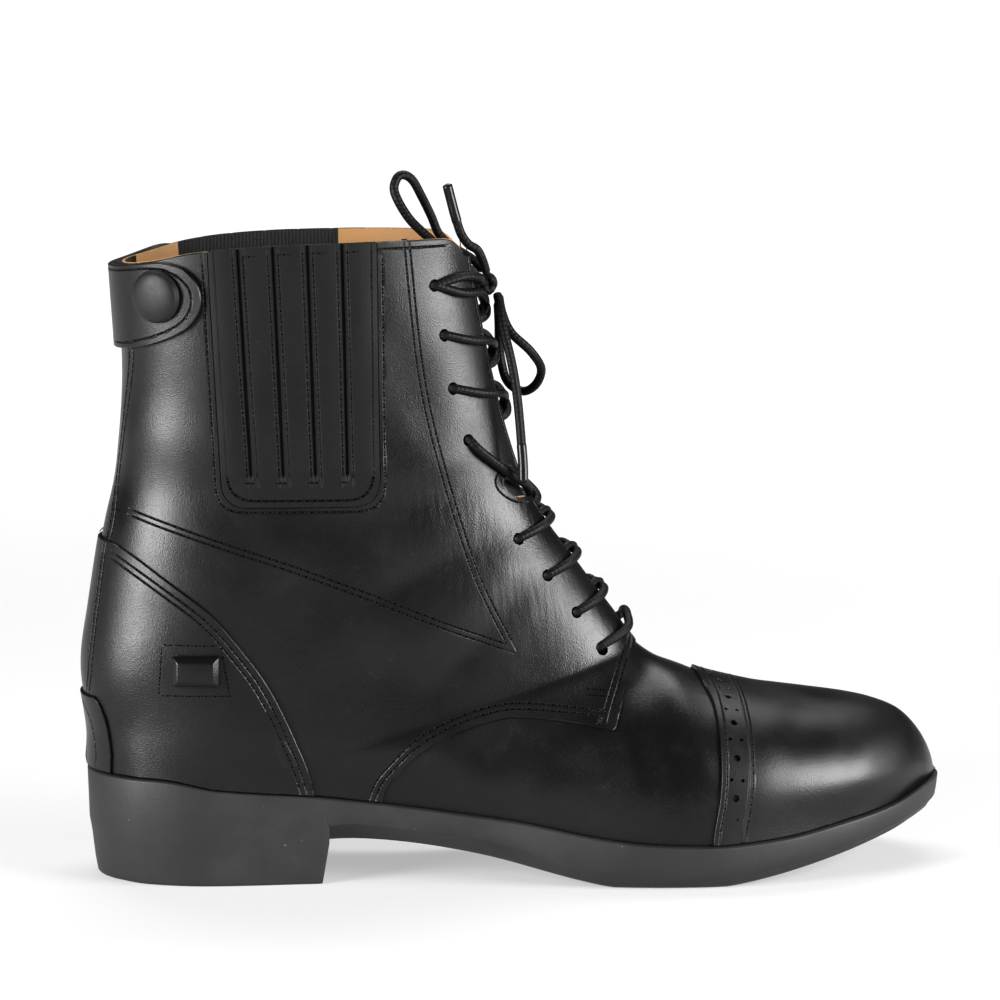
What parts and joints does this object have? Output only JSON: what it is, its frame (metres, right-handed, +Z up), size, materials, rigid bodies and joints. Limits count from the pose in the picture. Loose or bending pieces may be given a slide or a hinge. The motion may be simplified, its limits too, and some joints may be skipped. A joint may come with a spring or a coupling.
{
  "type": "paddock boot",
  "caption": "Ankle-high laced riding boot with toe cap, heel counter, elastic side panels, back strap with snap and a heeled rubber sole.",
  "frame": {"origin": "middle of the heel's flat bottom, on the floor", "axes": "+X from the heel to the toe, +Z up along the shaft, -Y to the outer side of the foot"},
  "size_m": [0.2896, 0.1016, 0.2329],
  "materials": {
    "leather": "smooth black leather, polished",
    "sole": "matte dark grey moulded rubber",
    "lining": "plain tan lining leather",
    "snap": "satin black enamel",
    "lace": "round waxed black lace"
  },
  "bodies": {
    "root": {"outsole": "sole", "upper": "leather", "tongue": "leather", "insole": "lining", "toe_cap": "leather", "heel_counter": "leather", "heel_patch": "leather", "elastic_panel_outer": "leather", "elastic_panel_inner": "leather", "back_strap": "leather", "snap_cap": "snap", "spur_stop_outer": "leather", "spur_stop_inner": "leather", "lace_bar": "lace", "lace_crossing_1": "lace", "lace_crossing_2": "lace", "lace_crossing_3": "lace", "lace_crossing_4": "lace", "lace_crossing_5": "lace", "lace_crossing_6": "lace", "lace_crossing_7": "lace", "lace_tie": "lace", "lace_knot": "lace", "lace_loop_upper": "lace", "lace_end_upper": "lace", "lace_loop_lower": "lace", "lace_end_lower": "lace"}
  },
  "joints": []
}
